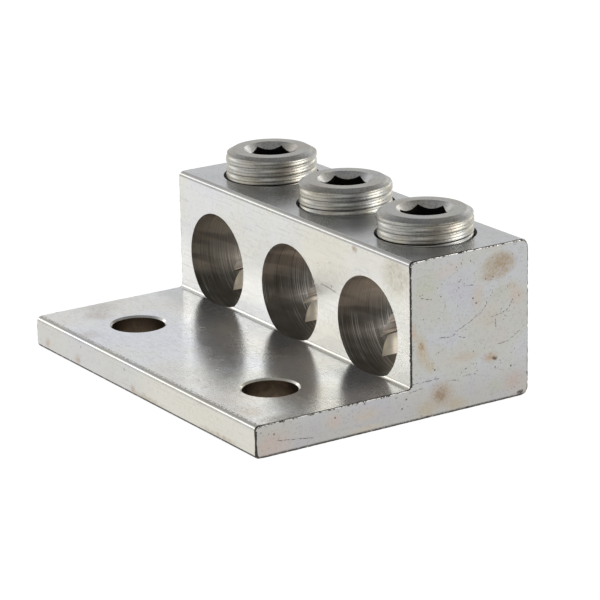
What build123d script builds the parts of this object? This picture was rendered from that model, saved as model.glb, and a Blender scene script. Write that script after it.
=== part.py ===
from build123d import *
import math
import os

# A mechanical lug for transformer terminals: three wires clamped by set screws, two mounting bolts.
# Millimetres. X runs along the row of wires, Y from the tongue to the back of the block, Z up.
# The origin is midway between the two bolt holes, on the mounting face.

# The extruded L-shaped bar, and how far its sawn ends lie beyond the outer wire bores
end_margin = 13.0
tongue_length = 31.5
tongue_thickness = 5.9
block_depth = 25.0
block_height = 28.5
edge_radius = 0.9
back_radius = 1.4
root_radius = 0.7
broken_edge = 0.25

# Bolt holes through the tongue, for 3/8 inch bolts at 1 3/4 inch
bolt_spacing = 44.45
bolt_setback = 12.85
bolt_hole_diameter = 9.8
bolt_rim_chamfer = 0.35

# Wire bores, drilled from the back until the drill's full diameter reaches the wire face
wire_pitch = 24.65
wire_bore_diameter = 18.35
wire_bore_height = 13.7
drill_point_angle = 118.0

# Tapped holes, one over each bore, a touch to the left of its middle
screw_setback = 12.8
tap_shift = -0.5
tap_drill_diameter = 15.5
tap_floor_rise = 1.37
thread_runout = 2.6
thread_clearance = 0.05
mouth_chamfer = 0.45

# Set screws, from left to right: how far each stands out and how far its hexagon is turned
screw_names = ("set_screw_left", "set_screw_middle", "set_screw_right")
screw_standouts = (5.0, 4.5, 4.5)
socket_turns = (2.0, 51.0, 41.0)
screw_diameter = 17.0
screw_length = 10.0
crown_flat_diameter = 14.4
crown_drop = 0.75
tip_chamfer = 1.2

# The screw's hexagon socket for a 5/16 inch key
socket_flats = 7.94
socket_depth = 5.5
socket_rim_diameter = 10.2
socket_rim_angle = 82.0
socket_pilot_diameter = 7.6

# Places and sizes that follow from the ones above
wire_count = len(screw_names)
lug_width = (wire_count - 1) * wire_pitch + 2 * end_margin
tongue_front = -bolt_setback
wire_face = tongue_front + tongue_length
block_back = wire_face + block_depth
screw_row = wire_face + screw_setback
wire_columns = [(i - (wire_count - 1) / 2) * wire_pitch for i in range(wire_count)]
tap_floor = wire_bore_height - wire_bore_diameter / 2 + tap_floor_rise
tap_drill_depth = block_height - tap_floor
thread_depth = tap_drill_depth - thread_runout
thread_hole_radius = screw_diameter / 2 + thread_clearance
drill_point_length = wire_bore_diameter / 2 / math.tan(math.radians(drill_point_angle / 2))

os.makedirs("parts", exist_ok=True)

# The drill that makes the wire bores: its shank lies along +Y and its cone points to the front
with BuildPart() as wire_drill:
    with BuildSketch(Plane.XY):
        with BuildLine():
            Polyline(
                (0, -drill_point_length),
                (wire_bore_diameter / 2, 0),
                (wire_bore_diameter / 2, block_depth + edge_radius),
                (0, block_depth + edge_radius),
                close=True,
            )
        make_face()
    revolve(axis=Axis.Y)

# The lug body: bar stock, bored, tapped and countersunk
with BuildPart() as lug_body:
    # The bar's section, with the rounded corners that the extrusion die leaves: the sketch's own
    # X and Y are the part's Y and Z
    with BuildSketch(Plane.YZ) as bar_section:
        with BuildLine():
            Polyline(
                (tongue_front, 0),
                (block_back, 0),
                (block_back, block_height),
                (wire_face, block_height),
                (wire_face, tongue_thickness),
                (tongue_front, tongue_thickness),
                close=True,
            )
        make_face()
        corners = bar_section.vertices()
        back_corners = corners.group_by(Axis.X)[-1]
        root = corners.sort_by_distance((wire_face, tongue_thickness))[0]
        fillet([corner for corner in corners if corner not in [root, *back_corners]], edge_radius)
        fillet(bar_section.vertices().group_by(Axis.X)[-1], back_radius)
        fillet(bar_section.vertices().sort_by_distance((wire_face, tongue_thickness))[0], root_radius)
    extrude(amount=lug_width / 2, both=True)

    # Tumbling breaks the sharp edges of the sawn ends
    chamfer(faces().filter_by(Axis.X).edges(), broken_edge)

    # Bolt holes with lightly broken rims
    with GridLocations(bolt_spacing, 0, 2, 1):
        Hole(bolt_hole_diameter / 2)
    bolt_rims = edges(Select.LAST).filter_by(GeomType.CIRCLE)
    chamfer(bolt_rims, bolt_rim_chamfer)

    # Wire bores: the cone just breaks through the wire face and scores the tongue and the root
    with Locations([(x, wire_face, wire_bore_height) for x in wire_columns]):
        add(wire_drill.part, mode=Mode.SUBTRACT)

    # Tapped holes: the tap drill's flat floor leaves a pocket in each side of the bore
    with Locations([(x + tap_shift, screw_row, block_height) for x in wire_columns]):
        Hole(tap_drill_diameter / 2, depth=tap_drill_depth)
        CounterSinkHole(
            radius=thread_hole_radius,
            counter_sink_radius=thread_hole_radius + mouth_chamfer,
            depth=thread_depth,
            counter_sink_angle=90,
        )

lug_body.part.label = "lug_body"
export_step(lug_body.part, "parts/lug_body.step")


def make_set_screw(name, top_plane, socket_turn):
    """A set screw at its crest diameter, hanging from the plane of its top face."""
    crest_radius = screw_diameter / 2
    rim_radius = socket_rim_diameter / 2
    pilot_radius = socket_pilot_diameter / 2
    rim_depth = (rim_radius - pilot_radius) / math.tan(math.radians(socket_rim_angle / 2))
    point_depth = pilot_radius / math.tan(math.radians(drill_point_angle / 2))
    with BuildPart() as set_screw:
        # The turned blank with its crown and tip, the pilot hole and the countersunk rim
        with BuildSketch(Plane(origin=top_plane.origin, x_dir=(1, 0, 0), z_dir=(0, -1, 0))):
            with BuildLine():
                Polyline(
                    (0, -socket_depth - point_depth),
                    (pilot_radius, -socket_depth),
                    (pilot_radius, -rim_depth),
                    (rim_radius, 0),
                    (crown_flat_diameter / 2, 0),
                    (crest_radius, -crown_drop),
                    (crest_radius, tip_chamfer - screw_length),
                    (crest_radius - tip_chamfer, -screw_length),
                    (0, -screw_length),
                    close=True,
                )
            make_face()
        revolve(axis=Axis(top_plane.origin, (0, 0, 1)))

        # The broached hexagon
        with BuildSketch(top_plane):
            RegularPolygon(socket_flats / 2, 6, major_radius=False, rotation=socket_turn)
        extrude(amount=-socket_depth, mode=Mode.SUBTRACT)

    set_screw.part.label = name
    return set_screw.part


for name, x, standout, socket_turn in zip(screw_names, wire_columns, screw_standouts, socket_turns):
    top_plane = Plane((x + tap_shift, screw_row, block_height + standout))
    set_screw = make_set_screw(name, top_plane, socket_turn)
    export_step(set_screw, f"parts/{name}.step")
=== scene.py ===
# %% [markdown]
# # A transformer lug, finished in Blender
#
# The lug is a sawn piece of extruded aluminium bar with three wire bores, three set screws
# over them and two bolt holes in its tongue, all of it tin plated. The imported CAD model
# gives the sizes, the joints and the frame: metres, X along the row of wires, Y from the
# tongue to the back of the block, Z up. This script adds what a camera sees: cut threads,
# sawn edges, and the finish of each surface.

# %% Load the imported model
import math
import random

import bmesh
import bpy
from mathutils import Matrix, Vector


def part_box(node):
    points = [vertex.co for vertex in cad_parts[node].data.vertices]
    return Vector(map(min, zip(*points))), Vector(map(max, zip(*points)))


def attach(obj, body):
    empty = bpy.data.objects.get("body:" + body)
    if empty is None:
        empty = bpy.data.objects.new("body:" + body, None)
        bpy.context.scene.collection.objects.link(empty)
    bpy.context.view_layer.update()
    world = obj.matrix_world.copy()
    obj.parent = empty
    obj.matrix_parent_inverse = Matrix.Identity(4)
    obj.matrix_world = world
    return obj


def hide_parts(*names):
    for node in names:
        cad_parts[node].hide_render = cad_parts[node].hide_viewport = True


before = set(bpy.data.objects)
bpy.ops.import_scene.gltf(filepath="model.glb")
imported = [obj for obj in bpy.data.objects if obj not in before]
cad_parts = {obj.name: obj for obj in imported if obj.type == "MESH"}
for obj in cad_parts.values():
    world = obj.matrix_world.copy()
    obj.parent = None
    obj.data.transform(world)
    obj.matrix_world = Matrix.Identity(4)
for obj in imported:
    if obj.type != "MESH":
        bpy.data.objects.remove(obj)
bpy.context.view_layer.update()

MM = 0.001
print("nodes:", ", ".join(sorted(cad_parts)))

# %% [markdown]
# ## Sizes
#
# A piece that stands for a CAD node has to lie where the node lies. The box of each node
# gives most of the sizes, and the rest are the driving values of the CAD model, repeated
# here in millimetres because the script reads nothing but the frame.

# %% Sizes of the bar, its holes and the screws
body_low, body_high = [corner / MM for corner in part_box("lug_body")]
half_width = body_high.x
tongue_front, block_back, block_height = body_low.y, body_high.y, body_high.z
tongue_thickness = 5.9
wire_face = 18.65
edge_radius, back_radius, root_radius = 0.9, 1.4, 0.7

bolt_x, bolt_radius, bolt_rim_chamfer = 22.225, 4.9, 0.35
wire_columns = (-24.65, 0.0, 24.65)
wire_radius, wire_height = 9.175, 13.7
drill_half_angle = math.radians(59.0)

screw_names = ("set_screw_left", "set_screw_middle", "set_screw_right")
screw_bodies = ("screw_left", "screw_middle", "screw_right")
socket_turns = (2.0, 51.0, 41.0)
screw_row = 31.45
screw_columns = [x - 0.5 for x in wire_columns]
screw_radius, screw_length = 8.5, 10.0
tap_radius, tap_floor, thread_floor = 7.75, 5.895, 8.495
mouth_radius = 9.0
thread_pitch = 1.5875
print("bar", round(2 * half_width, 2), "mm long, block", round(block_height, 2), "mm high")

# %% [markdown]
# ## Helpers for the meshes
#
# Most of the lug is turned or drilled work, so most of the shapes here are an outline spun
# about an axis. The holes could be modelled into the bar's faces by hand, but a bore that
# meets a tapped hole makes curves that only a Boolean gets right. So each tool that cuts
# the real part becomes a cutter here, and the exact solver keeps the result closed.

# %% Objects from a bmesh, turned shapes and cuts
def finished(bm, name):
    """An object at the origin from a bmesh in millimetres, merged and with its normals outward."""
    bmesh.ops.remove_doubles(bm, verts=bm.verts, dist=1e-4)
    bmesh.ops.recalc_face_normals(bm, faces=bm.faces)
    bmesh.ops.scale(bm, vec=(MM, MM, MM), verts=bm.verts)
    mesh = bpy.data.meshes.new(name)
    bm.to_mesh(mesh)
    bm.free()
    piece = bpy.data.objects.new(name, mesh)
    bpy.context.scene.collection.objects.link(piece)
    return piece


def outline_wire(bm, outline):
    """A chain of vertices and edges in the XZ plane, from pairs of radius and height."""
    verts = [bm.verts.new((radius, 0, height)) for radius, height in outline]
    return verts + [bm.edges.new(pair) for pair in zip(verts, verts[1:])]


def turned(name, outline, place, steps=96):
    """The outline spun once about Z, then moved by the matrix place."""
    bm = bmesh.new()
    wire = outline_wire(bm, outline)
    bmesh.ops.spin(bm, geom=wire, cent=(0, 0, 0), axis=(0, 0, 1), angle=math.tau, steps=steps, use_merge=True)
    bmesh.ops.transform(bm, matrix=place, verts=bm.verts)
    return finished(bm, name)


def cut(piece, tool, operation="DIFFERENCE"):
    """Combines the piece with the tool, and removes the tool."""
    modifier = piece.modifiers.new("cut", "BOOLEAN")
    modifier.object = tool
    modifier.operation = operation
    modifier.solver = "EXACT"
    bm = bmesh.new()
    bm.from_object(piece, bpy.context.evaluated_depsgraph_get())
    bmesh.ops.remove_doubles(bm, verts=bm.verts, dist=2e-6)
    bmesh.ops.dissolve_degenerate(bm, edges=bm.edges, dist=1e-6)
    piece.modifiers.clear()
    bm.to_mesh(piece.data)
    bm.free()
    bpy.data.meshes.remove(tool.data)


def report(piece):
    """Prints the size of a piece and whether its mesh is closed."""
    bm = bmesh.new()
    bm.from_mesh(piece.data)
    open_edges = sum(1 for edge in bm.edges if not edge.is_manifold)
    triangles = sum(len(face.verts) - 2 for face in bm.faces)
    volume = bm.calc_volume() / MM ** 3
    print(f"{piece.name}: {triangles} triangles, {open_edges} open edges, {volume:.0f} mm3")
    bm.free()


# %% [markdown]
# ## Threads
#
# A 16-per-inch thread climbs 1.5875 mm in a turn. One tooth's outline, spun while it also
# climbs, gives a true helix: after a full turn the bottom of the tooth lands on the top of
# the turn below, so merging the doubles closes the surface. Rings stacked on each other
# would be simpler, but they don't climb, and the eye sees it at the crown. The screws'
# threads are rolled and then tumbled, which leaves them shallow: each turn has two low
# ridges that lean a little upward, a fold between them and a narrow groove below. The tap
# cuts a plain tooth with a flat top.

# %% A threaded rod
steps_per_turn, spare_turns = 80, 2
half_pitch = thread_pitch / 2
# Pairs of radius and height, from the middle of one groove to the middle of the next
rolled_tooth = [
    (8.16, -half_pitch), (8.18, -0.68), (8.30, -0.58), (8.46, -0.51), (8.50, -0.46), (8.49, -0.38),
    (8.43, -0.20), (8.37, -0.07), (8.36, -0.02), (8.45, 0.04), (8.48, 0.09), (8.46, 0.17),
    (8.40, 0.34), (8.34, 0.46), (8.24, 0.58), (8.18, 0.68), (8.16, half_pitch),
]
tapped_tooth = [
    (8.22, -half_pitch), (8.25, -0.76), (8.6, -0.50), (8.6, 0.50), (8.25, 0.76), (8.22, half_pitch),
]


def threaded_rod(name, tooth, axis_x, crest_height, low, high):
    """A solid threaded rod from low to high, with a crest at crest_height on its +X side."""
    first_turn = math.floor((low - crest_height) / thread_pitch) - spare_turns
    turns = math.ceil((high - low) / thread_pitch) + 2 * spare_turns
    start = crest_height + first_turn * thread_pitch
    bm = bmesh.new()
    wire = outline_wire(bm, [(radius, start + height) for radius, height in tooth])
    bmesh.ops.spin(
        bm, geom=wire, cent=(0, 0, 0), axis=(0, 0, 1), dvec=(0, 0, thread_pitch / steps_per_turn),
        angle=math.tau, steps=steps_per_turn, use_merge=False,
    )
    one_turn = list(bm.verts) + list(bm.edges) + list(bm.faces)
    for turn in range(1, turns):
        copy = bmesh.ops.duplicate(bm, geom=one_turn)
        copied = [item for item in copy["geom"] if isinstance(item, bmesh.types.BMVert)]
        bmesh.ops.translate(bm, vec=(0, 0, turn * thread_pitch), verts=copied)
    bmesh.ops.remove_doubles(bm, verts=bm.verts, dist=1e-3)
    for height, side in ((low, (0, 0, -1)), (high, (0, 0, 1))):
        everything = list(bm.verts) + list(bm.edges) + list(bm.faces)
        bmesh.ops.bisect_plane(bm, geom=everything, plane_co=(0, 0, height), plane_no=side, clear_outer=True)
        rim = [edge for edge in bm.edges if edge.is_boundary]
        rim = [edge for edge in rim if all(abs(vert.co.z - height) < 1e-3 for vert in edge.verts)]
        bmesh.ops.edgeloop_fill(bm, edges=rim)
    bmesh.ops.translate(bm, vec=(axis_x, screw_row, 0), verts=bm.verts)
    return finished(bm, name)


radii = [radius for radius, height in rolled_tooth]
print(f"rolled thread: {max(radii) - min(radii):.2f} mm deep, one turn in {thread_pitch} mm")

# %% [markdown]
# ## Set screws
#
# Each screw is a blank with a chamfered crown and tip, rolled with the thread, drilled,
# countersunk and then broached with a hexagon for a 5/16 inch key. The piece is made in
# the same way. The blank is spun with its hole, a prism broaches it, and the threaded rod
# keeps only what lies inside it. Where the thread starts differs from screw to screw.

# %% Make the three screws
crest_heights = (30.86, 31.56, 31.03)
crown_flat_radius, crown_drop, tip_flat_radius, tip_rise = 7.2, 0.75, 7.3, 1.2
rim_radius, pilot_radius, socket_depth, socket_flats = 5.1, 3.8, 5.5, 7.94
rim_half_angle = math.radians(41.0)
rim_depth = (rim_radius - pilot_radius) / math.tan(rim_half_angle)
broach_gap, overrun, flat_to_corner = 0.05, 0.5, 30


def broken_corner(end, flat_radius, slope):
    """Outline of a chamfer from clear of the crests to the flat end, which it rounds into."""
    steps = (
        (screw_radius + 0.12, 1.0), (flat_radius + 0.14, 1.0),
        (flat_radius + 0.05, 0.8), (flat_radius - 0.06, 0.0),
    )
    return [(radius, end - slope * steep * max(0, radius - flat_radius)) for radius, steep in steps]


def make_screw(name, axis_x, crest_height, socket_turn):
    """One set screw where its CAD node lies."""
    low, high = [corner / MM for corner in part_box(name)]
    bottom, top = low.z, high.z
    floor = top - socket_depth
    tip = broken_corner(bottom, tip_flat_radius, -tip_rise / (screw_radius - tip_flat_radius))
    crown = broken_corner(top, crown_flat_radius, crown_drop / (screw_radius - crown_flat_radius))
    outline = [(0, bottom)] + tip[::-1] + crown
    outline += [
        (rim_radius, top), (pilot_radius, top - rim_depth), (pilot_radius, floor),
        (0, floor - pilot_radius / math.tan(drill_half_angle)),
    ]
    blank = turned(name + "_blank", outline, Matrix.Translation((axis_x, screw_row, 0)))
    bm = bmesh.new()
    bmesh.ops.create_circle(bm, cap_ends=True, segments=6, radius=socket_flats / math.sqrt(3))
    prism = bmesh.ops.extrude_face_region(bm, geom=list(bm.faces))
    risen = [item for item in prism["geom"] if isinstance(item, bmesh.types.BMVert)]
    bmesh.ops.translate(bm, vec=(0, 0, socket_depth), verts=risen)
    turn = Matrix.Rotation(math.radians(socket_turn - flat_to_corner), 4, "Z")
    place = Matrix.Translation((axis_x, screw_row, floor + broach_gap)) @ turn
    bmesh.ops.transform(bm, matrix=place, verts=bm.verts)
    cut(blank, finished(bm, "broach"))
    ends = (bottom - overrun, top + overrun)
    screw = threaded_rod(name + "_threaded", rolled_tooth, axis_x, crest_height, *ends)
    cut(screw, blank, "INTERSECT")
    return screw


screws = []
for name, axis_x, crest_height, socket_turn in zip(screw_names, screw_columns, crest_heights, socket_turns):
    screws.append(make_screw(name, axis_x, crest_height, socket_turn))
    report(screws[-1])

# %% [markdown]
# ## The bar
#
# The body starts as a length of bar: the L-shaped section with the radii that the die
# leaves, extruded along X. Its two ends are sawn, and tumbling has broken their edges. The
# section's outline is divided before the extrusion, so that the narrow bevel round each end
# has corners that a seeded random number can push about.

# %% The sawn length of bar
burr_width = 0.26
burr_spacing = 0.45
section = [
    (tongue_front, 0, edge_radius), (block_back, 0, back_radius), (block_back, block_height, back_radius),
    (wire_face, block_height, edge_radius), (wire_face, tongue_thickness, root_radius),
    (tongue_front, tongue_thickness, edge_radius),
]
bm = bmesh.new()
corners = [(bm.verts.new((-half_width, y, z)), radius) for y, z, radius in section]
bm.faces.new([vert for vert, radius in corners])
for vert, radius in corners:
    bmesh.ops.bevel(
        bm, geom=[vert], offset=radius, offset_type="OFFSET", segments=8, profile=0.5,
        affect="VERTICES", material=-1,
    )
bmesh.ops.delete(bm, geom=list(bm.faces), context="FACES_ONLY")
for edge in [edge for edge in bm.edges if edge.calc_length() > 2 * burr_spacing]:
    bmesh.ops.subdivide_edges(bm, edges=[edge], cuts=round(edge.calc_length() / burr_spacing) - 1)
bmesh.ops.edgeloop_fill(bm, edges=bm.edges)
bar = bmesh.ops.extrude_face_region(bm, geom=list(bm.faces))
far_end = [item for item in bar["geom"] if isinstance(item, bmesh.types.BMVert)]
bmesh.ops.translate(bm, vec=(2 * half_width, 0, 0), verts=far_end)
bmesh.ops.recalc_face_normals(bm, faces=bm.faces)
lengthwise = [edge for edge in bm.edges if edge.calc_length() > half_width]
flat = [edge for edge in lengthwise if edge.calc_face_angle() < 1e-4]
bmesh.ops.dissolve_edges(bm, edges=flat, use_verts=False)
print("bar section:", len(bm.verts) // 2, "corners,", len(bm.faces), "faces")

# %% [markdown]
# The bevel has two rows of faces. Its corners slide only within the two faces that it
# joins, so both stay flat. Tumbling wears a corner more than an edge, so the bevel widens
# toward the outer corners of the section, and a few of its corners get a deeper nick, where
# a saw tooth tore the edge.

# %% Broken edges round the sawn ends
corner_wear, wear_reach, bench_wear = 0.22, 2.4, 0.08
jitter, nick, nick_share, middle_row = 0.05, 0.22, 0.06, 0.4
outer_corners = [(y, z) for y, z, radius in section if radius != root_radius]


def wear(vert):
    """How far a corner of the bevel has worn back, in millimetres."""
    near = min(math.hypot(vert.co.y - y, vert.co.z - z) for y, z in outer_corners)
    worn = corner_wear * max(0, 1 - near / wear_reach) ** 1.5
    worn += bench_wear if vert.co.z < burr_width + 0.01 else 0
    return worn + random.uniform(-jitter, nick if random.random() < nick_share else jitter)


random.seed(16)
ends = [face for face in bm.faces if abs(face.normal.x) > 0.9]
rims = [edge for face in ends for edge in face.edges]
bmesh.ops.bevel(
    bm, geom=rims, offset=burr_width, offset_type="OFFSET", segments=2, profile=0.5,
    affect="EDGES", material=-1,
)
worn_places = []
for vert in bm.verts:
    side = math.copysign(1, vert.co.x)
    depth = half_width - abs(vert.co.x)
    partners = [edge.other_vert(vert) for edge in vert.link_edges]
    inner = [other for other in partners if half_width - abs(other.co.x) < depth - 1e-3]
    outer = [other for other in partners if depth + 1e-3 < half_width - abs(other.co.x) < 2 * burr_width]
    back = wear(vert)
    place = vert.co.copy()
    if inner:
        place.x -= side * (back if not outer else middle_row * back)
    if outer:
        inward = vert.co - outer[0].co
        inward.x = 0
        place += inward.normalized() * (back if not inner else middle_row * back)
    worn_places.append((vert, place))
for vert, place in worn_places:
    vert.co = place
lug = finished(bm, "lug_body_finished")
report(lug)

# %% [markdown]
# ## Drilling and tapping
#
# The tools cut in the same order as in the shop: the wire bores from the back, with the
# drill's cone just through the front face, the bolt holes with a light chamfer on both
# rims, then under each screw the tap drill, the tap and the countersink. The tapped thread
# has the screw's own crest height, so the two threads mesh, and the joint's limits are
# whole turns away from rest, where they mesh again.

# %% Cut the holes
cone = wire_radius / math.tan(drill_half_angle)
drill_length, clear = 30.0, 1.0
along_y = Matrix.Rotation(math.radians(-90), 4, "X")
wire_drill = [(0, -cone), (wire_radius, 0), (wire_radius, drill_length), (0, drill_length)]
for x in wire_columns:
    place = Matrix.Translation((x, wire_face, wire_height)) @ along_y
    cut(lug, turned("wire_drill", wire_drill, place, steps=128))

rim = bolt_radius + bolt_rim_chamfer
bolt_drill = [
    (0, -clear), (rim + clear, -clear), (bolt_radius, bolt_rim_chamfer),
    (bolt_radius, tongue_thickness - bolt_rim_chamfer), (rim + clear, tongue_thickness + clear),
    (0, tongue_thickness + clear),
]
for x in (-bolt_x, bolt_x):
    cut(lug, turned("bolt_drill", bolt_drill, Matrix.Translation((x, 0, 0))))

tap_drill = [
    (0, tap_floor), (tap_radius, tap_floor), (tap_radius, block_height - (mouth_radius - tap_radius)),
    (mouth_radius + clear, block_height + clear), (0, block_height + clear),
]
for axis_x in screw_columns:
    cut(lug, turned("tap_drill", tap_drill, Matrix.Translation((axis_x, screw_row, 0))))
for axis_x, crest_height in zip(screw_columns, crest_heights):
    cut(lug, threaded_rod("tap", tapped_tooth, axis_x, crest_height, thread_floor, block_height + clear))
report(lug)

# %% [markdown]
# ## Colours, nodes and shaders
#
# Colours are picked as sRGB hex values, as on a paint chart, and turned to the linear
# values that a shader works in. One function adds every node with its settings and links,
# and another ends each material with the one shader that all of them use.

# %% Helpers for every material
def colour(hex_text):
    """Linear RGBA of an sRGB hex value."""
    parts = [int(hex_text[i:i + 2], 16) / 255 for i in (0, 2, 4)]
    return (*[c / 12.92 if c <= 0.04045 else ((c + 0.055) / 1.055) ** 2.4 for c in parts], 1.0)


def add(tree, kind, sockets=None, **settings):
    """Adds a node: settings are its properties, sockets take a value, an output or a node."""
    node = tree.nodes.new("ShaderNode" + kind)
    for name, value in settings.items():
        setattr(node, name, value)
    for key, value in (sockets or {}).items():
        if isinstance(value, bpy.types.Node):
            value = value.outputs[0]
        if isinstance(value, bpy.types.NodeSocket):
            tree.links.new(value, node.inputs[key])
        else:
            node.inputs[key].default_value = value
    return node


def new_material(name):
    """A material with an empty tree, and the place on the piece in millimetres."""
    material = bpy.data.materials.new(name)
    material.use_nodes = True
    tree = material.node_tree
    tree.nodes.clear()
    place = add(tree, "TexCoord").outputs["Object"]
    mm = add(tree, "Mapping", {"Vector": place, "Scale": (1 / MM, 1 / MM, 1 / MM)}).outputs[0]
    return material, tree, mm


def surface(material, base, rough, normal=None, metallic=1.0):
    """Ends a material with its shader: the roughness is a number or a pattern."""
    sockets = {"Base Color": base, "Roughness": rough, "Metallic": metallic}
    if normal is not None:
        sockets["Normal"] = normal
    tree = material.node_tree
    add(tree, "OutputMaterial", {"Surface": add(tree, "BsdfPrincipled", sockets)})
    print(f"{material.name}: {len(tree.nodes)} nodes")


# %% [markdown]
# ## Patterns that cover a face
#
# Plated tin is pale silver, with faint lavender, straw and pink where the coat is thicker
# or has begun to oxidise, and every tool leaves its own grain. Images could be painted for
# all this, but noise measured in millimetres needs none and fits every piece. Soft noise
# gives the tints, and noise squeezed along an axis gives lines.

# %% Tints, grain and soft edges
def tin_tints(tree, mm, tints, size):
    """A colour that drifts between the tints in patches about as wide as size."""
    patches = add(tree, "TexNoise", {"Vector": mm, "Scale": 1 / size, "Detail": 3.0, "Roughness": 0.55})
    ramp = add(tree, "ValToRGB", {"Fac": patches})
    stops = ramp.color_ramp.elements
    while len(stops) < len(tints):
        stops.new(0.5)
    for i, hex_text in enumerate(tints):
        stops[i].position = 0.32 + 0.36 * i / (len(tints) - 1)
        stops[i].color = colour(hex_text)
    return ramp.outputs[0]


def each_way(size):
    """Three numbers for X, Y and Z, where one number stands for all."""
    return size if isinstance(size, tuple) else (size, size, size)


def grain(tree, mm, per_mm, detail=2.0):
    """Noise with its own number of grains per millimetre along each axis."""
    squeezed = add(tree, "Mapping", {"Vector": mm, "Scale": each_way(per_mm)})
    return add(tree, "TexNoise", {"Vector": squeezed, "Scale": 1.0, "Detail": detail, "Roughness": 0.6})


def between(tree, pattern, low, high, to_low=0.0, to_high=1.0):
    """The pattern taken from one range to another, with soft ends."""
    sockets = {"Value": pattern, "From Min": low, "From Max": high, "To Min": to_low, "To Max": to_high}
    return add(tree, "MapRange", sockets, interpolation_type="SMOOTHSTEP")


def tint_over(tree, base, hex_text, mask, within=None):
    """The base colour with another one over it where the mask, and within too, is one."""
    if within is not None:
        mask = add(tree, "Math", {0: mask, 1: within}, operation="MULTIPLY")
    return add(tree, "Mix", {0: mask, 6: base, 7: colour(hex_text)}, data_type="RGBA").outputs[2]


# %% [markdown]
# ## Marks at chosen places
#
# A buyer would know this very lug by its larger stains, scratches and pits, so those are
# placed one by one, in millimetres. An oval or a line drawn by distance alone looks cut out.
# So noise first pushes the place about, which makes the edge uneven, and a mottle breaks
# the stain up.

# %% Stains, lines and specks
def warp(tree, mm, size, amount):
    """The place, pushed about by noise of that size, by up to the amount."""
    noise = add(tree, "TexNoise", {"Vector": mm, "Scale": 1 / size, "Detail": 3.0}).outputs["Color"]
    push = add(tree, "VectorMath", {0: noise, 1: (-0.5, -0.5, -0.5)}, operation="ADD")
    push = add(tree, "VectorMath", {0: push, "Scale": 2 * amount}, operation="SCALE")
    return add(tree, "VectorMath", {0: mm, 1: push}, operation="ADD").outputs[0]


def blotch(tree, warped, place, reach, core, tilt=0.0):
    """One in the core of an oval, nothing beyond its reach along X, Y and Z, tilted about X."""
    sockets = {"Vector": warped, "Location": place, "Rotation": (math.radians(tilt), 0, 0), "Scale": reach}
    oval = add(tree, "Mapping", sockets, vector_type="TEXTURE")
    return between(tree, add(tree, "VectorMath", {0: oval}, operation="LENGTH").outputs["Value"], 1.0, core)


def stained(tree, base, warped, mottle, stains):
    """The base colour with stains: place, reach each way or all ways, core, colour, strength."""
    for place, reach, core, hex_text, strength, *tilt in stains:
        oval = blotch(tree, warped, place, each_way(reach), core, *tilt)
        broken = between(tree, mottle, 0.38, 0.60, strength * 0.55, strength)
        base = tint_over(tree, base, hex_text, oval, broken)
    return base


def off_line(tree, mm, start, end):
    """Distance in millimetres from the straight line between two places."""
    along = Vector(end) - Vector(start)
    from_start = add(tree, "VectorMath", {0: mm, 1: start}, operation="SUBTRACT")
    dotted = {0: from_start, 1: along / along.length_squared}
    share = add(tree, "VectorMath", dotted, operation="DOT_PRODUCT").outputs["Value"]
    share = add(tree, "Math", {0: share, 1: 1.0}, operation="MULTIPLY", use_clamp=True)
    nearest = add(tree, "VectorMath", {0: along, "Scale": share}, operation="SCALE")
    return add(tree, "VectorMath", {0: from_start, 1: nearest}, operation="DISTANCE").outputs["Value"]


def nearest_of(tree, distances):
    """The smallest of some distances."""
    smallest = distances[0]
    for distance in distances[1:]:
        smallest = add(tree, "Math", {0: smallest, 1: distance}, operation="MINIMUM")
    return smallest


def specks(tree, mm, size, radius, share):
    """Round specks of up to the radius, in that share of the cells of that size."""
    cells = add(tree, "TexVoronoi", {"Vector": mm, "Scale": 1 / size, "Randomness": 1.0})
    lot = add(tree, "SeparateColor", {"Color": cells.outputs["Color"]})
    spot = between(tree, cells.outputs["Distance"], radius / size, 0.4 * radius / size)
    chosen = between(tree, lot, 1 - share, 1 - share * 0.5)
    return add(tree, "Math", {0: chosen, 1: spot}, operation="MULTIPLY")


# %% [markdown]
# ## Bright tin on the extruded faces
#
# The die and later handling leave fine lines along the bar, and tumbling leaves shallow
# dimples and a few dark specks. The tints are soft noise about 16 mm across. The lines are
# noise stretched along X, a quarter of a millimetre apart, which is coarser than the real
# ones, so that they show. Fine plating scatters some light as pale paint does, so the tin
# is a little less than fully metallic.

# %% What all the extruded faces share
tin_patch = 16.0
plated_metallic = 0.84


def extruded_tin(material, mm, base, low_rough, high_rough, dimple_tint, haze=0.0):
    """Ends a material with die lines, dimples and specks: haze adds soft rough patches."""
    tree = material.node_tree
    die_lines = grain(tree, mm, (0.12, 4.0, 4.0))
    dimples = grain(tree, mm, 1.3)
    base = tint_over(tree, base, "7C7D80", between(tree, dimples, 0.46, 0.30, 0.0, dimple_tint))
    base = tint_over(tree, base, "8B8C8D", between(tree, die_lines, 0.42, 0.30, 0.0, 0.18))
    base = tint_over(tree, base, "5E5348", specks(tree, mm, 5.5, 0.22, 0.25))
    rough = between(tree, grain(tree, mm, (0.10, 0.16, 0.16)), 0.35, 0.65, low_rough, high_rough)
    hazed = between(tree, grain(tree, mm, (0.9, 1.6, 1.6)), 0.40, 0.60, 0.0, haze)
    rough = add(tree, "Math", {0: rough, 1: hazed}, operation="ADD")
    normal = add(tree, "Bump", {"Height": die_lines, "Distance": 0.012 * MM, "Strength": 0.30})
    dents = {"Height": dimples, "Distance": 0.010 * MM, "Strength": 0.14, "Normal": normal}
    surface(material, base, rough, add(tree, "Bump", dents), plated_metallic)
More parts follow.
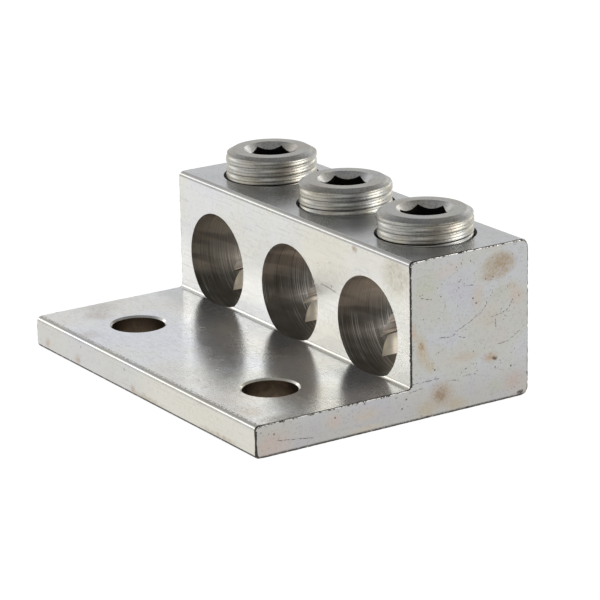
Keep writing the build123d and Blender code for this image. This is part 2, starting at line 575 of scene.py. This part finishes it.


# %% Bright tin
# Tin on the skin that the die leaves: pale silver, a touch warmer to the right, with soft
# reflections and a few brown spots. The tongue's front is painted darker as shade, the
# block's front painted paler low down as light, and a faint painted shade runs along the root
plated_finish, tree, mm = new_material("bright_tin_on_extrusion")
base = tin_tints(tree, mm, ("DAD8DC", "DDDDDD", "DDDCD5", "DAD6CF"), tin_patch)
along, across, height = add(tree, "SeparateXYZ", {"Vector": mm}).outputs
# Painted shade: the tongue's front darker than the block's
base = tint_over(tree, base, "C4C3BF", between(tree, across, 10.0, 0.0, 0.0, 0.7))
# Painted light: the block's front paler low down, above the tongue
behind_tongue, low_down = between(tree, across, 10.0, 12.0), between(tree, height, 19.0, 12.0)
base = tint_over(tree, base, "ECEBE7", behind_tongue, low_down)
base = tint_over(tree, base, "E3DFCF", between(tree, along, -8.0, 10.0, 0.0, 0.5))
front_marks = (
    ((21.0, wire_face, 27.0), 1.2, 0.1, "9A8468", 0.8),
    ((13.6, wire_face, 18.3), 0.4, 0.2, "4E463E", 0.8),
    ((33.5, wire_face, 25.0), 6.0, 0.1, "B9B097", 0.7),
    ((-22.3, tongue_front, 1.5), 1.3, 0.1, "A08060", 0.6),
    ((-2.6, tongue_front, 1.4), 1.3, 0.1, "A08060", 0.5),
    ((-21.0, tongue_front, 4.4), 0.3, 0.2, "40382F", 0.8),
    ((-33.5, tongue_front, 1.8), 1.4, 0.1, "A98C6C", 0.5),
    ((-5.5, tongue_front, 4.0), 0.35, 0.2, "4A4238", 0.8),
    ((2.0, tongue_front, 0.9), (9.0, 2.0, 0.8), 0.2, "A39176", 0.5),
    ((26.0, tongue_front, 0.9), (9.0, 2.0, 0.8), 0.2, "A39176", 0.5),
)
front_mottle = grain(tree, mm, 1.2, 3.0)
base = stained(tree, base, warp(tree, mm, 1.6, 0.8), front_mottle, front_marks)
front_scratch = off_line(tree, warp(tree, mm, 2.0, 0.3), (10.3, wire_face, 18.1), (15.0, wire_face, 17.8))
base = tint_over(tree, base, "A09C92", between(tree, front_scratch, 0.15, 0.03))
# A faint painted shade along the root of the block, which dims the line of light on its round
root_ends = [(x, wire_face, tongue_thickness) for x in (-half_width, half_width)]
base = tint_over(tree, base, "8A867E", between(tree, off_line(tree, mm, *root_ends), 0.9, 0.4, 0.0, 0.12))
extruded_tin(plated_finish, mm, base, 0.20, 0.28, 0.10)

# %% Polished tin
# Tin on the rounded edges, rubbed smooth by hands: a thin bright line of light along each
# edge. Its tints are painted darker than the faces' tin, darker still on the block, as shade
# that dims and narrows that line, and a painted dark reflection runs where the round meets
# the level face
rounded_finish, tree, mm = new_material("polished_tin_on_rounded_edges")
base = tin_tints(tree, mm, ("C2C1C4", "C6C6C6", "C8C7C0", "C4C0BA"), tin_patch)
height = add(tree, "SeparateXYZ", {"Vector": mm}).outputs["Z"]
# Painted shade: the block's rounds darker than the tongue's
above_tongue = between(tree, height, tongue_thickness + 1, tongue_thickness + 3)
on_block = add(tree, "Math", {0: above_tongue, 1: 0.6}, operation="MULTIPLY")
base = tint_over(tree, base, "ABAAA6", on_block)
# A painted dark reflection along the top of each round, where it meets the level face
tongue_dark_reflection = between(tree, height, tongue_thickness - 0.36, tongue_thickness - 0.16)
block_dark_reflection = between(tree, height, block_height - 0.22, block_height - 0.04, 0.0, 0.8)
edge_dark_reflection = add(tree, "Mix", {0: above_tongue, 2: tongue_dark_reflection, 3: block_dark_reflection})
edge_dark_reflection = add(tree, "Math", {0: edge_dark_reflection, 1: 0.28}, operation="MULTIPLY")
base = tint_over(tree, base, "5F5A50", edge_dark_reflection)
extruded_tin(rounded_finish, mm, base, 0.12, 0.16, 0.20)

# %% [markdown]
# ## Handled tin on the level faces
#
# Wrenches, bolts and other lugs have slid over the tops of the tongue and of the block.
# Their tin is greyer, with soft rubs and shallow dimples, and it mirrors the block as a
# blurred shape. Brown flux stains lie round the far bolt hole, a patchy painted dark
# reflection runs along the front edge, and the tongue is faintly darker by the root of the
# block.

# %% Handled tin
# Tin that was slid over: a satin mirror, cool grey on the tongue and darker on the block
level_finish, tree, mm = new_material("handled_tin_on_level_faces")
base = tin_tints(tree, mm, ("D3D6DE", "D7D9DE", "D8D9D7", "D5D2CE"), tin_patch)
_, across, height = add(tree, "SeparateXYZ", {"Vector": mm}).outputs
on_block = between(tree, height, tongue_thickness + 1, block_height - 1, 0.0, 0.92)
base = tint_over(tree, base, "B0B1B3", on_block)
level_marks = (
    ((-35.0, -1.0, tongue_thickness), 5.2, 0.1, "A49A8A", 0.6),
    ((-31.0, -3.5, tongue_thickness), 4.0, 0.1, "A3937F", 0.6),
    ((-22.0, -10.5, tongue_thickness), 3.5, 0.1, "AC9F90", 0.5),
    ((-12.0, -8.0, tongue_thickness), 0.35, 0.2, "4A443C", 0.9),
    ((30.5, -9.5, tongue_thickness), 4.4, 0.1, "B39C8A", 0.45),
    ((36.8, -7.5, tongue_thickness), (3.4, 6.0, 2.0), 0.2, "8C887F", 0.75),
    ((12.0, -5.5, tongue_thickness), 0.35, 0.2, "4A443C", 0.9),
)
level_mottle = grain(tree, mm, 1.2, 3.0)
base = stained(tree, base, warp(tree, mm, 1.8, 1.0), level_mottle, level_marks)
rubs = grain(tree, mm, (0.5, 3.2, 1.0))
base = tint_over(tree, base, "8A8B8C", between(tree, rubs, 0.44, 0.30, 0.0, 0.3))
# A patchy painted dark reflection along the tongue's front edge, beside the edge's line of light
by_edge = between(tree, across, tongue_front + edge_radius + 0.45, tongue_front + edge_radius + 0.15)
patchy = between(tree, grain(tree, mm, 2.2), 0.46, 0.54, 0.0, 0.7)
base = tint_over(tree, base, "5A544A", by_edge, patchy)
# The tongue's top darker toward the root of the block
by_root, on_tongue = between(tree, across, 10.0, 15.0, 0.0, 0.5), between(tree, height, 8.0, 7.0)
base = tint_over(tree, base, "A6A8AC", by_root, on_tongue)
extruded_tin(level_finish, mm, base, 0.20, 0.24, 0.15, 0.04)

# %% [markdown]
# ## Stained tin on the sawn ends
#
# The saw leaves a coarser, duller face. Tin on it is greyer, with brown stains where flux
# or water stood, pinholes in clusters and a few long scratches. The stains and scratches
# lie where the real end has them. The far end, which the camera doesn't see, keeps only
# the scattered pinholes and tints.

# %% Stains on the sawn end
# Tin over saw marks: matt grey with brown stains, dark pinholes and scratches
sawn_finish, tree, mm = new_material("stained_tin_on_sawn_end")
base = tin_tints(tree, mm, ("B9B9BE", "BCBDBE", "BBBBB5", "BCB8B3"), 8.0)
mottle = grain(tree, mm, 2.2, 4.0)
# Y and Z of the middle, reach along Y and Z, core, colour, strength, and any tilt in degrees
end_stains = (
    (37.3, 24.8, 4.3, 2.9, 0.55, "A69680", 0.80, 8), (38.0, 25.2, 2.8, 1.7, 0.2, "9A866A", 0.60, 8),
    (34.8, 23.0, 1.8, 1.2, 0.1, "A38E74", 0.60), (26.2, 25.8, 4.6, 1.9, 0.1, "C6B5A6", 0.50, 12),
    (21.8, 24.0, 4.5, 3.4, 0.1, "B3B498", 0.55), (32.7, 19.9, 2.0, 3.6, 0.1, "BDAB96", 0.55, -8),
    (34.2, 16.0, 4.6, 3.2, 0.1, "BCB09E", 0.45), (37.3, 19.7, 2.2, 1.8, 0.1, "ACB3A2", 0.50),
    (41.0, 18.8, 2.4, 2.6, 0.1, "BEA999", 0.50), (39.8, 20.6, 1.8, 1.1, 0.1, "B8A288", 0.50),
    (35.4, 8.5, 2.3, 1.4, 0.1, "A98A64", 0.75), (36.4, 8.15, 0.85, 0.5, 0.3, "5E4838", 0.95),
    (30.2, 9.6, 5.0, 1.5, 0.1, "B3A390", 0.45), (21.0, 12.4, 1.9, 4.4, 0.1, "B39B75", 0.65, 14),
    (20.9, 13.2, 1.0, 1.0, 0.1, "97794F", 0.60), (19.3, 16.0, 0.9, 2.4, 0.1, "BE9D7A", 0.55),
    (22.6, 9.2, 1.4, 2.2, 0.1, "B5A37E", 0.50), (24.9, 3.9, 3.7, 3.2, 0.1, "A08868", 0.75),
    (24.8, 3.6, 1.7, 1.5, 0.1, "7F674A", 0.65), (27.8, 1.5, 3.4, 1.9, 0.1, "AD9B80", 0.60),
    (22.0, 1.9, 3.0, 2.0, 0.1, "AF9F80", 0.55), (40.4, 3.2, 3.4, 2.8, 0.1, "B89F8C", 0.50),
    (36.5, 2.9, 2.6, 1.9, 0.1, "ADB09A", 0.50), (41.8, 0.85, 0.9, 0.55, 0.4, "3D342C", 0.95),
    (-9.4, 1.8, 4.6, 3.4, 0.3, "BFABA3", 0.65), (2.8, 3.6, 2.4, 2.0, 0.1, "C5AC9F", 0.50),
    (9.2, 3.4, 4.0, 1.9, 0.1, "C0B29A", 0.50), (9.6, 0.9, 5.0, 1.0, 0.1, "C3B796", 0.50),
)
stain_depth = 9.0
placed_stains = [
    ((half_width, y, z), (stain_depth, along_y, along_z), *rest)
    for y, z, along_y, along_z, *rest in end_stains
]
height = add(tree, "SeparateXYZ", {"Vector": mm}).outputs["Z"]
base = tint_over(tree, base, "A59F97", between(tree, height, 9.0, 2.0, 0.0, 0.4))
base = stained(tree, base, warp(tree, mm, 2.6, 0.45), mottle, placed_stains)
print(len(end_stains), "stains on the sawn end")

# %% Scratches and pits on the sawn end
scratches = (
    ((24.6, 14.0), (27.3, 13.8), (28.5, 14.7), (31.2, 15.8), (33.6, 17.1), (34.7, 18.4)),
    ((28.7, 13.4), (30.1, 13.1)), ((35.6, 15.7), (37.9, 16.0), (39.3, 16.7), (40.2, 18.1)),
    ((36.5, 15.1), (36.6, 13.2)), ((24.0, 11.3), (25.9, 12.1)), ((28.3, 21.9), (28.9, 22.3)),
    ((29.8, 22.4), (31.7, 22.2)), ((28.4, 23.0), (29.2, 23.6)), ((25.9, 20.2), (25.8, 18.9)),
    ((26.4, 6.0), (28.5, 5.6)), ((29.6, 6.2), (32.2, 6.1)), ((19.0, 6.8), (24.5, 6.8)),
    ((18.0, 5.4), (21.1, 5.7)), ((-8.7, 2.6), (-1.5, 1.6)), ((37.1, 10.6), (39.5, 10.8), (41.7, 12.2)),
    ((20.8, 21.8), (23.0, 21.1)),
)
pits = (
    (20.6, 22.3), (21.1, 22.3), (24.3, 23.0), (25.0, 21.4), (31.7, 19.8), (32.4, 18.8), (34.7, 19.3),
    (39.1, 20.6), (41.6, 18.6), (37.5, 7.5), (37.7, 7.0), (36.5, 6.4), (37.5, 5.8), (39.9, 8.4),
    (39.9, 6.0), (30.3, 7.4), (36.3, 16.0), (23.6, 8.5), (21.3, 18.0), (20.7, 13.8), (36.0, 23.0),
    (34.4, 22.8), (31.2, 26.6), (28.3, 26.0), (24.5, 17.5), (16.7, 2.8), (15.5, 5.1), (5.6, 3.4),
    (9.0, 5.4), (3.0, 4.2), (-11.8, 4.6), (-10.2, 4.1), (-9.2, 3.9), (17.6, 4.4),
)
uneven = warp(tree, mm, 1.1, 0.22)
breaks = grain(tree, mm, 2.6)
strokes = [
    off_line(tree, uneven, (half_width, *start), (half_width, *end))
    for line in scratches for start, end in zip(line, line[1:])
]
stroke = between(tree, nearest_of(tree, strokes), 0.13, 0.03)
broken = between(tree, breaks, 0.46, 0.54, 0.15, 1.0)
base = tint_over(tree, base, "605C5D", stroke, broken)
from_pits = [
    add(tree, "VectorMath", {0: uneven, 1: (half_width, *pit)}, operation="DISTANCE").outputs["Value"]
    for pit in pits
]
pit_reach = between(tree, grain(tree, mm, 0.7), 0.40, 0.60, 0.12, 0.26)
base = tint_over(tree, base, "4A4440", between(tree, nearest_of(tree, from_pits), pit_reach, 0.06))
print(len(strokes), "strokes and", len(pits), "pits on the sawn end")

# %% Pinholes, saw marks and a painted bench shadow on both ends
clusters = between(tree, grain(tree, mm, 0.20, 3.0), 0.50, 0.58)
pinholes = specks(tree, warp(tree, mm, 0.5, 0.12), 0.7, 0.14, 0.40)
base = tint_over(tree, base, "58534F", pinholes, clusters)
base = tint_over(tree, base, "57504C", specks(tree, mm, 1.7, 0.13, 0.45))
saw_marks = grain(tree, mm, (1.0, 0.30, 3.4), 4.0)
base = tint_over(tree, base, "8E8C8C", between(tree, saw_marks, 0.44, 0.30, 0.0, 0.16))
dull_grain = grain(tree, mm, 2.8, 4.0)
base = tint_over(tree, base, "8E8C88", between(tree, dull_grain, 0.47, 0.30, 0.0, 0.45))
# A painted contact shadow of the bench along the bottom of each end, broken into patches
by_bench, patchy = between(tree, height, 0.66, 0.40), between(tree, breaks, 0.38, 0.50, 0.4, 0.85)
base = tint_over(tree, base, "4A4541", by_bench, patchy)
normal = add(tree, "Bump", {"Height": saw_marks, "Distance": 0.015 * MM, "Strength": 0.22})
normal = add(tree, "Bump", {"Height": mottle, "Distance": 0.03 * MM, "Strength": 0.20, "Normal": normal})
surface(sawn_finish, base, between(tree, mottle, 0.3, 0.7, 0.36, 0.46), normal, plated_metallic)

# %% [markdown]
# ## Broken edges
#
# Along the sawn edges the tin is thin and dirt collects, so the broken edge is a dark line
# with small nicks. Where the edge looks up, handling has rubbed its outer half bright.

# %% Oxide and rubbed metal on the broken edges
# Oxide and dirt in the burr: nearly black, with short bright breaks; the same finish is
# painted on the undersides of the bottom rounds as the bench's contact shadow
burr_and_bench_shadow_finish, tree, mm = new_material("oxide_in_the_burr_and_painted_bench_shadow")
base = tin_tints(tree, mm, ("383532", "4A4643", "3F3B38", "5C5753"), 0.9)
base = tint_over(tree, base, "B5B2AE", between(tree, grain(tree, mm, 1.6, 3.0), 0.60, 0.68))
surface(burr_and_bench_shadow_finish, base, 0.45)

# Tin rubbed through on the upper burr: a bright thread of light with dark breaks
rubbed_finish, tree, mm = new_material("rubbed_tin_on_the_burr")
base = tin_tints(tree, mm, ("CAC9C5", "C2C1BD", "B2B0AB", "CFCECA"), 1.2)
base = tint_over(tree, base, "4E4944", between(tree, grain(tree, mm, 1.9, 3.0), 0.50, 0.41))
surface(rubbed_finish, base, 0.3)

# %% [markdown]
# ## Drilled bores
#
# A drill leaves rings across the bore, and the tin inside stays thin and brownish. The
# rings are noise that changes along Y, about 0.2 mm apart, and hardly at all around the
# bore. The clean ones shine. The upper half is painted paler, as the light that reaches it,
# and broad slanting bands over it are a painted reflection. The left bore is painted paler
# above its floor, as light.

# %% Drilled bores
# Thin tin over drill rings: dark brown-grey, painted paler above as light, with fine bright rings
bore_finish, tree, mm = new_material("thin_tin_in_drilled_bore")
base = tin_tints(tree, mm, ("7C7A73", "83807A", "807D77", "88847D"), 5.0)
height = add(tree, "SeparateXYZ", {"Vector": warp(tree, mm, 3.0, 1.2)}).outputs["Z"]
# Painted light: the upper half of each bore paler
base = tint_over(tree, base, "F0E1D2", between(tree, height, 12.0, 16.5, 0.0, 0.95))
along = add(tree, "SeparateXYZ", {"Vector": mm}).outputs["X"]
# Painted light: the left bore paler above its floor
in_left, off_floor = between(tree, along, -13.0, -22.0, 0.0, 0.7), between(tree, height, 8.0, 12.0)
base = tint_over(tree, base, "C9C2B6", in_left, off_floor)
# Broad slanting bands over the paler half, a painted reflection
slanting = add(tree, "Mapping", {"Vector": mm, "Rotation": (math.radians(22), 0, 0)})
bands = grain(tree, slanting, (0.05, 0.06, 0.50), 1.0)
base = tint_over(tree, base, "625C54", between(tree, bands, 0.56, 0.42, 0.0, 0.42))
rings = grain(tree, mm, (0.06, 5.5, 0.06), 4.0)
base = tint_over(tree, base, "55514C", between(tree, rings, 0.50, 0.34, 0.0, 0.5))
clean = between(tree, rings, 0.54, 0.64, 0.0, 0.7)
worn = between(tree, grain(tree, mm, (0.20, 0.15, 0.20)), 0.42, 0.56)
base = tint_over(tree, base, "D4D2CC", clean, worn)
normal = add(tree, "Bump", {"Height": rings, "Distance": 0.02 * MM, "Strength": 0.45})
surface(bore_finish, base, between(tree, rings, 0.3, 0.7, 0.28, 0.42), normal, 0.80)

# %% Bolt holes
# Painted shade on the bolt holes' walls: dark brown with a dull shine
bolt_hole_shade_finish, tree, mm = new_material("painted_shade_in_bolt_hole")
base = tin_tints(tree, mm, ("4E4336", "5E5142", "554B40", "6C5A48"), 3.0)
drill_marks = grain(tree, mm, (0.3, 0.3, 3.0))
normal = add(tree, "Bump", {"Height": drill_marks, "Distance": 0.02 * MM, "Strength": 0.5})
surface(bolt_hole_shade_finish, base, 0.36, normal)

# %% [markdown]
# ## Tapped threads and their mouths
#
# The tap cuts a clean thread, seen only through the bores, and the tap drill's pocket below
# it is painted paler still, as the light that falls into it from behind. The countersunk
# mouth and the first turns are painted black and matt, as the shade in the gap round each
# screw, so a black line runs round each screw.

# %% Tapped threads and painted shade in the mouths
# Aluminium cut by the tap, thinly plated: warm grey, and a pale satin in the pocket, painted paler as light
tapped_finish, tree, mm = new_material("cut_thread_in_aluminium")
base = tin_tints(tree, mm, ("877E75", "999087", "A29C94", "B0A79C"), 3.0)
height = add(tree, "SeparateXYZ", {"Vector": mm}).outputs["Z"]
# Painted light: the pocket below the thread paler
base = tint_over(tree, base, "BFBAB0", between(tree, height, tap_floor + 3.2, tap_floor + 2.4, 0.0, 0.95))
ripple = grain(tree, mm, 2.0)
normal = add(tree, "Bump", {"Height": ripple, "Distance": 0.01 * MM, "Strength": 0.4})
surface(tapped_finish, base, 0.3, normal)

# Painted shade in the mouth: black and matt, not metallic
mouth_shade_finish, tree, mm = new_material("painted_shade_in_the_mouth")
base = tin_tints(tree, mm, ("0E0D0B", "191713", "12100D", "221E19"), 1.0)
surface(mouth_shade_finish, base, 0.6, metallic=0.0)

# %% [markdown]
# ## Rolled and tumbled screws
#
# The screws are tumbled before plating, so their tin is satin and finely pitted, a touch
# warmer than the bar. The real pits are under 0.1 mm across, and the grain here is 0.15 to
# 0.3 mm, so that it shows. The flat end has taken most of the tumbling and is greyer. The
# grooves of the thread are darker, which a shader finds by its distance to the axis.

# %% Satin tin on the screws
groove_radius, groove_darkening = 8.36, 0.12


def off_axis(tree, mm):
    """Distance in millimetres from the axis of the nearest screw."""
    along, across, _ = add(tree, "SeparateXYZ", {"Vector": mm}).outputs
    half_space, middle = wire_columns[-1] / 2, screw_columns[1]
    wrapped = add(tree, "Math", {0: along, 1: middle + half_space, 2: middle - half_space}, operation="WRAP")
    flat_place = add(tree, "CombineXYZ", {"X": wrapped, "Y": across})
    sockets = {0: flat_place, 1: (middle, screw_row, 0)}
    return add(tree, "VectorMath", sockets, operation="DISTANCE").outputs["Value"]


def satin_tin(name, tints, pitted, low_rough, high_rough):
    """A screw's finish: pitted is how strongly the grain darkens the tin."""
    material, tree, mm = new_material(name)
    base = tin_tints(tree, mm, tints, 5.0)
    satin = grain(tree, mm, 3.2, 3.0)
    base = tint_over(tree, base, "5F5D59", between(tree, satin, 0.52, 0.34, 0.0, pitted))
    base = tint_over(tree, base, "4E4A46", specks(tree, mm, 1.6, 0.15, 0.25))
    radius = off_axis(tree, mm)
    # Darker in the grooves of the thread
    in_groove = between(tree, radius, groove_radius, groove_radius - 0.22, 0.0, groove_darkening)
    in_thread = between(tree, radius, screw_radius - 0.75, screw_radius - 0.65)
    base = tint_over(tree, base, "3F3B36", in_groove, in_thread)
    normal = add(tree, "Bump", {"Height": satin, "Distance": 0.03 * MM, "Strength": 0.5})
    surface(material, base, between(tree, satin, 0.3, 0.7, low_rough, high_rough), normal)
    return material


# Satin tin on the rolled thread: soft streaks of light along the ridges
thread_tints = ("B3B3B1", "B7B6B0", "B9B5A8", "B1A99D")
screw_finish = satin_tin("satin_tin_on_rolled_thread", thread_tints, 0.34, 0.30, 0.40)
# Tin on the tumbled end: an even grey, finely speckled
end_tints = ("AEAEAF", "B4B4B2", "B3B1AA", "AEA9A2")
end_finish = satin_tin("tumbled_tin_on_screw_end", end_tints, 0.45, 0.34, 0.46)

# Bare metal that the broach cut, painted as the shade in the socket: a black hexagon with a faint sheen
socket_shade_finish, tree, mm = new_material("painted_shade_in_the_socket")
base = tin_tints(tree, mm, ("2C2B29", "3A3835", "32302D", "45413C"), 2.0)
surface(socket_shade_finish, base, 0.42)

# %% [markdown]
# ## Which finish goes where
#
# A finish follows the tool that made the surface, so each face gets its material by where
# it lies. Faces could be picked by hand, but a cut that moves would lose them. The
# underside of each rounded bottom edge takes the burr's dark finish, a painted contact
# shadow of the bench. A screw has three finishes: the socket, the tumbled ends with the
# countersunk rim, and the thread.

# %% Assign the finishes
PLATED, SAWN, BURR_AND_BENCH_SHADOW, BORE, TAPPED, BOLT_HOLE, LEVEL, RUBBED, MOUTH, ROUNDED = range(10)
body_finishes = (
    plated_finish, sawn_finish, burr_and_bench_shadow_finish, bore_finish, tapped_finish,
    bolt_hole_shade_finish, level_finish, rubbed_finish, mouth_shade_finish, rounded_finish,
)
slack = 0.01
burr_start = half_width - burr_width - corner_wear - nick
mouth_shade_floor = block_height - 2.4


def dress(piece, finishes, choose):
    """Gives each face the finish that choose picks from its centre, in millimetres, and normal."""
    for finish in finishes:
        piece.data.materials.append(finish)
    counts = [0] * len(finishes)
    for polygon in piece.data.polygons:
        polygon.material_index = choose(polygon.center / MM, polygon.normal)
        counts[polygon.material_index] += 1
    print(piece.name, "faces:", dict(zip([finish.name for finish in finishes], counts)))


def in_bore(centre, x):
    """Whether a place lies on or inside the wire bore at x, its cone included."""
    from_axis = math.hypot(centre.x - x, centre.z - wire_height)
    return from_axis < wire_radius + 2 * slack and wire_face - cone < centre.y < block_back - slack


def body_finish(centre, normal):
    """The finish of a face of the body."""
    for x in (-bolt_x, bolt_x):
        if math.hypot(centre.x - x, centre.y) < bolt_radius + slack and abs(normal.z) < 0.5:
            return BOLT_HOLE
    if abs(normal.x) > 0.985 and abs(centre.x) > half_width - slack:
        return SAWN
    if abs(centre.x) > burr_start and abs(normal.x) > 0.1:
        return RUBBED if normal.x > 0.8 and normal.z > 0.1 else BURR_AND_BENCH_SHADOW
    for x, axis_x in zip(wire_columns, screw_columns):
        from_axis = math.hypot(centre.x - axis_x, centre.y - screw_row)
        off_bore = abs(math.hypot(centre.x - x, centre.z - wire_height) - wire_radius)
        if off_bore < 2 * slack and abs(normal.y) < 0.1:
            return BORE
        # Round each screw: painted shade in the mouth and first turns, the tapped thread below
        if from_axis < mouth_radius + slack and tap_floor - slack < centre.z < block_height - slack:
            return MOUTH if centre.z > mouth_shade_floor else TAPPED
        if in_bore(centre, x) and abs(normal.y) < 0.9:
            return BORE
    if normal.z > 0.99:
        return LEVEL
    off_root = centre.y < tongue_front + edge_radius or centre.z > tongue_thickness + root_radius
    if normal.z > 0.05 and off_root:
        return ROUNDED
    # The undersides of the bottom rounds take the burr's dark finish, a painted contact shadow
    return BURR_AND_BENCH_SHADOW if -0.98 < normal.z < -0.25 else PLATED


dress(lug, body_finishes, body_finish)

# %% Finishes of the screws
THREAD, END, SOCKET = range(3)
socket_reach = socket_flats / math.sqrt(3) + 2 * slack
steep = 0.55


def dress_screw(screw, name, axis_x):
    """Gives each face of a screw its finish, by its distance to the axis and its depth."""
    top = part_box(name)[1].z / MM

    def screw_face_finish(centre, normal):
        from_axis, depth = math.hypot(centre.x - axis_x, centre.y - screw_row), top - centre.z
        in_socket = from_axis < socket_reach and rim_depth - 0.05 < depth < 2 * socket_depth
        if in_socket and normal.z > -0.9:
            return SOCKET
        on_crown = depth < crown_drop + 2 * slack and normal.z > steep
        on_tip = depth > screw_length - tip_rise - 2 * slack and normal.z < -steep
        on_rim = from_axis < rim_radius and normal.z > steep
        return END if on_crown or on_tip or on_rim else THREAD

    dress(screw, (screw_finish, end_finish, socket_shade_finish), screw_face_finish)


for screw, name, axis_x in zip(screws, screw_names, screw_columns):
    dress_screw(screw, name, axis_x)

# %% [markdown]
# ## Smooth shading with true flats
#
# A turned or drilled surface is round, so its facets mustn't show, while a sawn end or a
# level face must stay flat up to its edge. Smooth shading alone bends the light near
# every edge. So edges with a clear angle are marked sharp, and the Weighted Normal
# modifier lets the large faces decide how the light falls on the small ones beside them.

# %% Smooth shading
sharp_angle = math.radians(32)
for piece in [lug] + screws:
    bm = bmesh.new()
    bm.from_mesh(piece.data)
    for face in bm.faces:
        face.smooth = True
    for edge in bm.edges:
        edge.smooth = edge.is_manifold and edge.calc_face_angle() < sharp_angle
    print(piece.name, "has", sum(1 for edge in bm.edges if not edge.smooth), "sharp edges")
    bm.to_mesh(piece.data)
    bm.free()
    weighted = piece.modifiers.new("flat_faces_stay_flat", "WEIGHTED_NORMAL")
    weighted.mode = "FACE_AREA"
    weighted.keep_sharp = True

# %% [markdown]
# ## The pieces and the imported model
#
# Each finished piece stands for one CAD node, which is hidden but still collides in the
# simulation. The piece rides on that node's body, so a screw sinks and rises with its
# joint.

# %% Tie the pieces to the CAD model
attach(lug, "lug")
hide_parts("lug_body")
for screw, name, body in zip(screws, screw_names, screw_bodies):
    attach(screw, body)
    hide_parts(name)
    print(screw.name, "rides on", body)

# %% [markdown]
# ## Floor, light and camera
#
# Plated metal shows mostly what stands round it, so the studio matters as much as the tin.
# The lug stands on a white, glowing table in a white room that is darker overhead, behind
# the camera and a little above the table, which gives the tin its greys. Of the four soft
# boxes one at the left lights the front faces, one over the camera fills the shadows, one
# at the back lights the rims of the screws, and one at the right lights the sawn end.

# %% The table
bpy.context.scene.view_settings.view_transform = "Standard"
bm = bmesh.new()
bmesh.ops.create_grid(bm, x_segments=1, y_segments=1, size=4.0)
floor_mesh = bpy.data.meshes.new("floor")
bm.to_mesh(floor_mesh)
bm.free()
floor = bpy.data.objects.new("floor", floor_mesh)
bpy.context.scene.collection.objects.link(floor)
# Frosted acrylic lit from below: an even white that keeps no shadow
acrylic = {
    "Base Color": colour("303030"), "Roughness": 0.9,
    "Emission Color": colour("FFFFFF"), "Emission Strength": 0.985,
}
table = bpy.data.materials.new("lit_white_table")
table.use_nodes = True
for name, value in acrylic.items():
    table.node_tree.nodes["Principled BSDF"].inputs[name].default_value = value
floor.data.materials.append(table)
print("table: glows with a strength of", acrylic["Emission Strength"])

# %% The room
world = bpy.data.worlds.new("studio")
bpy.context.scene.world = world
world.use_nodes = True
tree = world.node_tree
tree.nodes.clear()
direction = add(tree, "TexCoord").outputs["Generated"]
darker_side, room_light = (0.84, -0.545, 0.0), 0.98
towards = add(tree, "VectorMath", {0: direction, 1: darker_side}, operation="DOT_PRODUCT").outputs["Value"]
height = add(tree, "SeparateXYZ", {"Vector": direction}).outputs["Z"]
glow = between(tree, towards, 0.38, 0.95, room_light, 0.03)
for share in (between(tree, height, 0.38, 0.85, 1.0, 0.28), between(tree, height, 0.05, 0.20, 0.7, 1.0)):
    glow = add(tree, "Math", {0: glow, 1: share}, operation="MULTIPLY")
add(tree, "OutputWorld", {"Surface": add(tree, "Background", {"Color": colour("FFFFFF"), "Strength": glow})})
print("room:", len(tree.nodes), "nodes")


# %% Soft boxes
def soft_box(name, place, aim, size, power):
    """A rectangular lamp that faces the aim: its size in metres, its power in watts."""
    light = bpy.data.lights.new(name, "AREA")
    light.shape = "RECTANGLE"
    light.size, light.size_y = size
    light.energy = power
    lamp = bpy.data.objects.new(name, light)
    lamp.location = place
    lamp.rotation_euler = (Vector(aim) - Vector(place)).to_track_quat("-Z", "Y").to_euler()
    bpy.context.scene.collection.objects.link(lamp)
    print(name, "gives", power, "W")


target = (0, 0.015, 0.01)
soft_box("front_left_box", (-1.06, -0.46, 0.38), target, (0.8, 0.30), 1.1)
soft_box("fill_box", (0.55, -0.55, 0.75), target, (0.6, 0.6), 0.8)
soft_box("back_box", (-0.36, 1.09, 0.35), target, (0.4, 0.35), 1.1)
soft_box("right_box", (0.80, 0.85, 0.44), target, (0.6, 0.4), 3.2)

# %% [markdown]
# ## Camera
#
# The camera stands where the photograph was taken from. Its angle, distance and lens were
# worked out from the places of the lug's corners and holes in the picture, so the render
# can be laid over it. A camera turned by hand would come close, but never line up.

# %% Camera at the photograph's angle
azimuth, elevation, roll = 57.038, 17.323, -1.147
aim, distance = Vector((2.72, 19.10, 13.13)) * MM, 0.54615
# A camera at rest looks straight down, so it is tipped up by what the elevation leaves
turn = Matrix.Identity(4)
for angle, axis in ((azimuth, "Z"), (90 - elevation, "X"), (roll, "Z")):
    turn @= Matrix.Rotation(math.radians(angle), 4, axis)
lens = bpy.data.cameras.new("camera")
lens.sensor_fit, lens.sensor_width, lens.lens = "HORIZONTAL", 36.0, 183.27
camera = bpy.data.objects.new("camera", lens)
camera.matrix_world = Matrix.Translation(aim) @ turn @ Matrix.Translation((0, 0, distance))
bpy.context.scene.collection.objects.link(camera)
bpy.context.scene.camera = camera
print("camera at", [round(c / MM, 1) for c in camera.matrix_world.translation])
